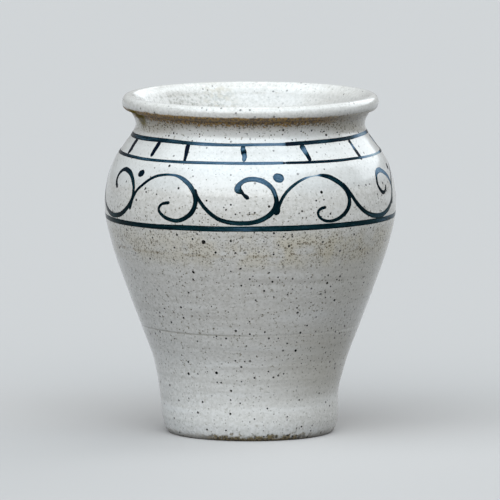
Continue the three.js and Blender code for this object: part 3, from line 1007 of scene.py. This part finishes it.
# %% Lay the blots
IRON_COLOUR = (0.008, 0.007, 0.006, 1)

iron, _, melted = new_finish("melted_iron")
fill(melted, Base_Color=IRON_COLOUR, Roughness=0.3, Specular_IOR_Level=0.1)

dabs = []
for turn, height, size in BLOTS:
    half = math.degrees(size / 2 / wall_radius(height))
    ends = [(turn - half, height, size, 1), (turn + half, height, size, 1)]
    dabs.append(lay_stroke("blot", ends, LIFT["blot"], waver=0.2))
for dab in dabs:
    dab.select_set(True)
bpy.context.view_layer.objects.active = dabs[0]
bpy.ops.object.join()
blots = begin("iron_blots")
blots.data.materials.clear()
blots.data.materials.append(iron)
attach(blots, "root")
print("faces of all blots:", len(blots.data.polygons))

# %% [markdown]
# ## The table
#
# The pot stands on one wide pale disc. The camera and the reflections see it pale all over. What it bounces
# back at the clay is full only in a patch at the foot, most of it in front on the left. So the foot is lit
# from below, its lowest edge darkens towards the table, and the underside of the belly keeps its shade.

# %% Add the floor
TABLE_RADIUS = 9
PATCH_AT = (-0.032, -0.03, 0)
NO_BOUNCE, FULL_BOUNCE, SEEN_TABLE = (0.05, 0.05, 0.05), (0.285, 0.325, 0.37), (0.50, 0.465, 0.445)

bpy.ops.object.select_all(action="DESELECT")
bpy.ops.mesh.primitive_circle_add(vertices=128, radius=TABLE_RADIUS, fill_type="NGON", location=(0, 0, 0))
table = begin("studio_floor")
table_top, table_nodes, matt = new_finish("pale_floor")


def seen_rays(tree):
    """1 for what the camera, a reflection or glass sees, and 0 for the light that a surface gathers."""
    rays = add_node(tree, "LightPath").outputs
    return larger(larger(rays["Is Camera Ray"], rays["Is Glossy Ray"]), rays["Is Transmission Ray"])


spot = add_node(table_nodes, "TexCoord").outputs["Object"]
near_foot = times(mask(distance(spot), 0.044, 0.052), mask(distance(spot, PATCH_AT), 0.075, 0.049))
bounce = lay_over(NO_BOUNCE, FULL_BOUNCE, near_foot)
table_colour = lay_over(bounce, SEEN_TABLE, seen_rays(table_nodes))
fill(matt, Base_Color=table_colour, Roughness=0.9, Specular_IOR_Level=0.1)
table.data.materials.append(table_top)
print("floor radius:", TABLE_RADIUS, "m")

# %% [markdown]
# ## The light
#
# On the photograph the gloss on the shoulder and on the paint shows where the light comes from: a broad
# window of sky in front, brighter and bluer higher up, with fainter sky beside it and overhead, and a low
# window behind on the right. Area lamps could stand for them, but the world can hold them all at their true
# directions, with soft edges. Below them the dome is pale to look at and dark as a lamp.

# %% The dome and its directions
dome = bpy.data.worlds.new("pale_dome")
bpy.context.scene.world = dome
dome.use_nodes = True
sky = dome.node_tree
compass = add_node(sky, "TexCoord").outputs["Generated"]
east, north, altitude = add_node(sky, "SeparateXYZ", Vector=compass).outputs
bearing = combine("ARCTAN2", east, times(north, -1.0))


def window(left, right, sill, blur):
    """A mask of the sky between two bearings, in degrees right of the front, above the sill's altitude."""
    sides = [math.radians(angle) for angle in (left - blur, left + blur, right + blur, right - blur)]
    across = times(mask(bearing, *sides[:2]), mask(bearing, *sides[2:]))
    low, high = math.sin(math.radians(sill - blur / 2)), math.sin(math.radians(sill + blur / 2))
    return times(across, mask(altitude, low, high))


print("dome ready")

# %% The windows of the dome
DARK_LAMP, SEEN_DOME = (0.02, 0.02, 0.02), (0.40, 0.40, 0.40)
LOW_SKY, SIDE_SKY, BACK_SKY = (0.33, 0.42, 0.5), (1.8, 2.0, 2.1), (2.3, 2.45, 2.55)
FRONT_SKY, HIGH_SKY, OVERHEAD_SKY = (2.9, 3.02, 3.08), (2.8, 3.32, 3.7), (1.25, 1.4, 1.5)

back_window = times(window(108, 163, 12, 4), mask(altitude, 0.66, 0.58))
shade = layered(
    lay_over(DARK_LAMP, SEEN_DOME, seen_rays(sky)),
    (LOW_SKY, window(-95, 70, 12, 8), 1),
    (SIDE_SKY, window(-105, 125, 38, 10), 1),
    (BACK_SKY, back_window, 1),
    (FRONT_SKY, window(-60, 36, 15.5, 5), 1),
    (HIGH_SKY, window(-69, 60, 38, 10), 1),
    (OVERHEAD_SKY, mask(altitude, 0.86, 0.92), 1),
)
fill(sky.nodes["Background"], Color=shade)
print("nodes in the dome:", len(sky.nodes))

# %% [markdown]
# ## The camera
#
# The ellipses of the rim and the foot say that the photograph was taken from six to seven and a half degrees
# above level. They differ so little that the lens was long and far away. The camera repeats that from 6.3 m.

# %% Place the camera
DISTANCE = 6.3
TILT = math.radians(6.75)
SENSOR, LENS = 36, 854

aim = Vector((-0.0002, 0, 0.0967))
eye = aim + Vector((0, -math.cos(TILT), math.sin(TILT))) * DISTANCE
bpy.ops.object.camera_add(location=eye, rotation=(math.pi / 2 - TILT, 0, 0))
camera = bpy.context.object
camera.data.sensor_width = SENSOR
camera.data.lens = LENS
camera.data.clip_end = 100
bpy.context.scene.camera = camera
bpy.context.scene.view_settings.view_transform = "Standard"
print("camera at", [round(value, 3) for value in eye])
